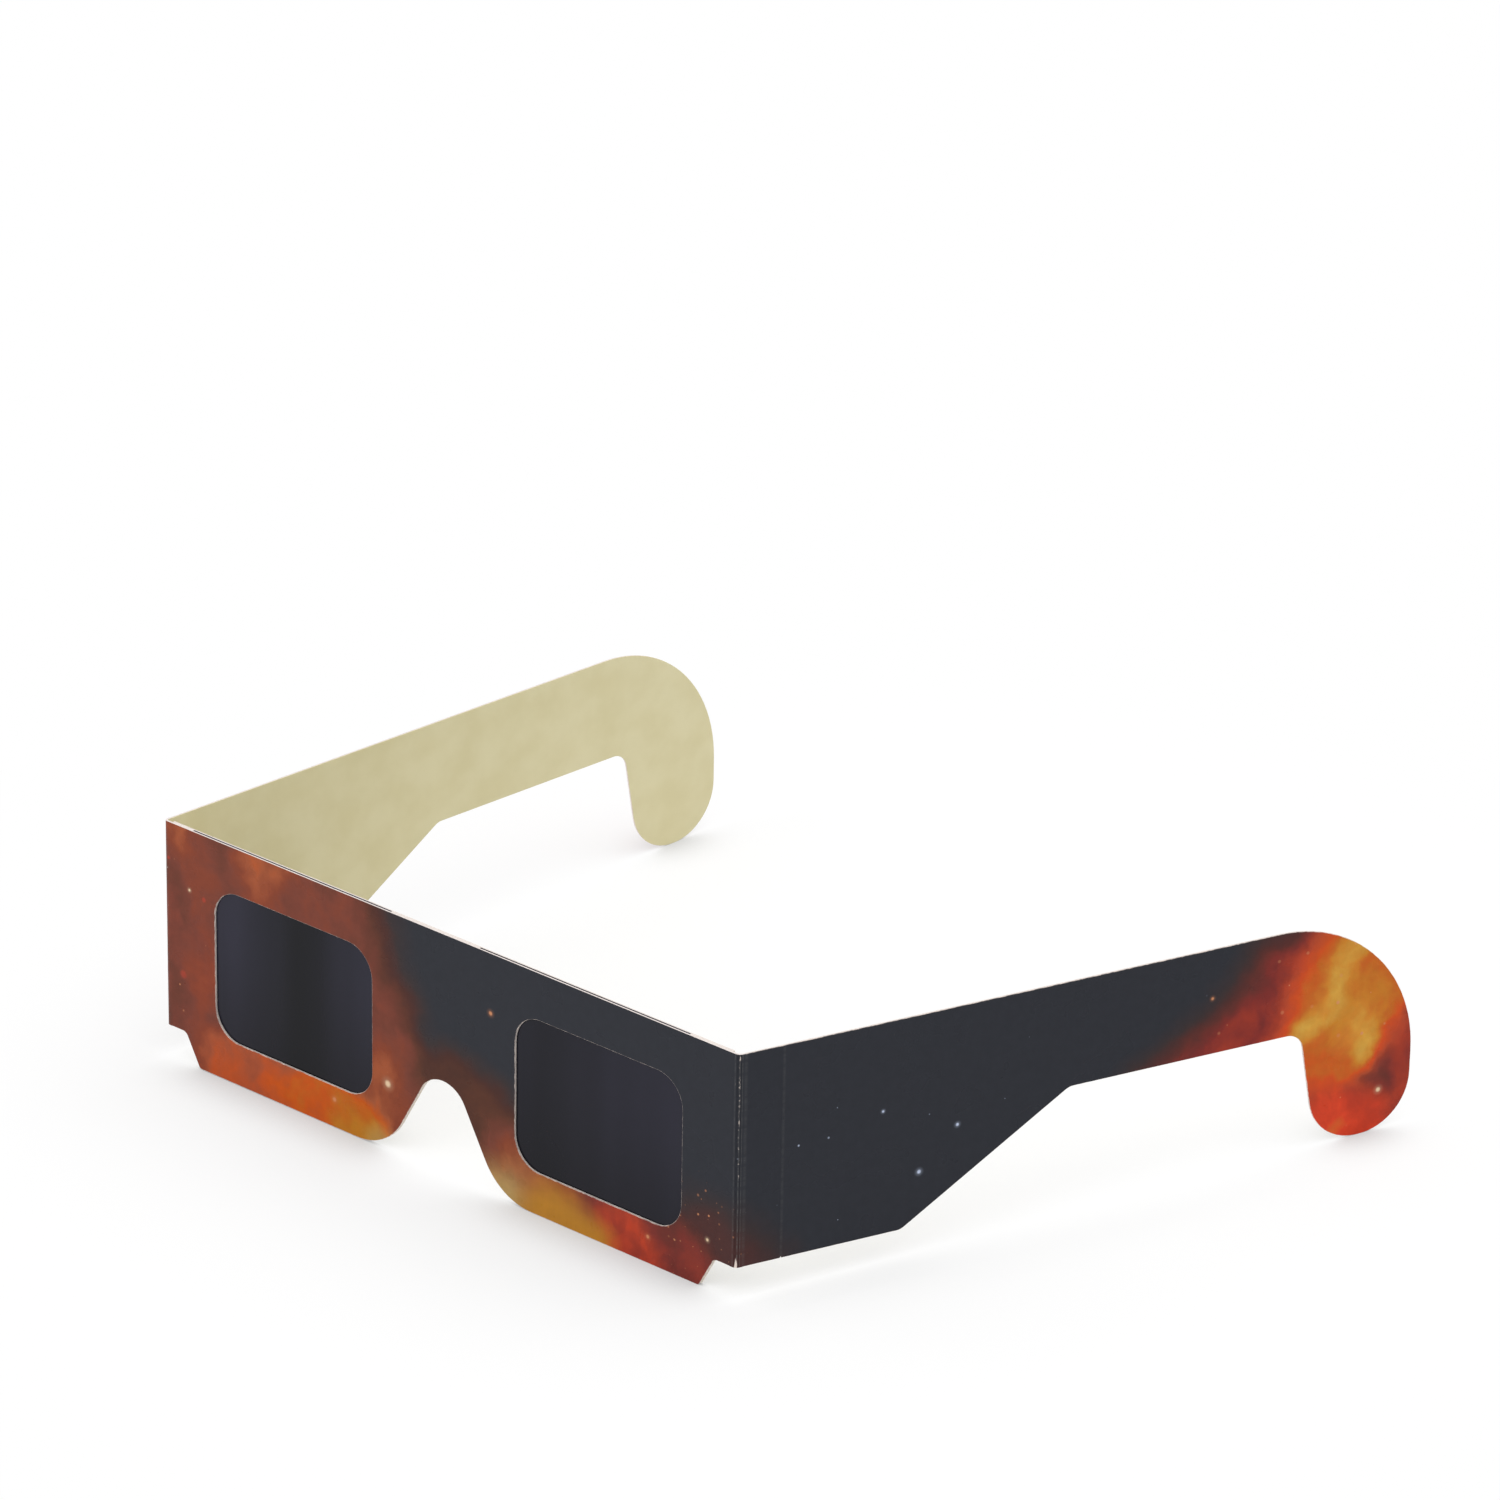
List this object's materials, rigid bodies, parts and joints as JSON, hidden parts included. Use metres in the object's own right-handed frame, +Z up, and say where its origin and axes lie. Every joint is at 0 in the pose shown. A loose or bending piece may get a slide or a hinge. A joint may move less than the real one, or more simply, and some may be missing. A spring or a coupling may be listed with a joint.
{
  "type": "eclipse glasses",
  "caption": "Folding card glasses for looking at the sun: notched front with dark film windows and a nose arch, temples with round ear hooks on scored folds.",
  "frame": {"origin": "middle of the bridge on the printed front face, level with the middle of the two windows", "axes": "+Z up, the printed front faces -Y, the temples go back along +Y, +X is the wearer's left and the right-hand side seen from the front"},
  "size_m": [0.1883, 0.1374, 0.0477],
  "materials": {
    "printed_card": "gloss laminated print on white card",
    "plain_card": "uncoated cream card",
    "filter_film": "black filter film, gloss",
    "glue": "dried white glue"
  },
  "bodies": {
    "front": {"front_card": "printed_card", "back_card": "plain_card", "filter_film_left": "filter_film", "filter_film_right": "filter_film", "glue_sheet": "glue", "corner_crease_left": "printed_card", "corner_crease_right": "printed_card"},
    "temple_left": {"temple_left": "printed_card"},
    "temple_right": {"temple_right": "printed_card"}
  },
  "joints": [
    {"name": "temple_fold_left", "type": "hinge", "parent": "front", "child": "temple_left", "pos_m": [-0.0692, 0.00082, 0], "axis": [0, 0, -1], "range_deg": [-95, 85], "deforming": ["corner_crease_left"]},
    {"name": "temple_fold_right", "type": "hinge", "parent": "front", "child": "temple_right", "pos_m": [0.0692, 0.00115, 0], "axis": [0, 0, 1], "range_deg": [-69.5, 110.5], "deforming": ["corner_crease_right"]}
  ]
}
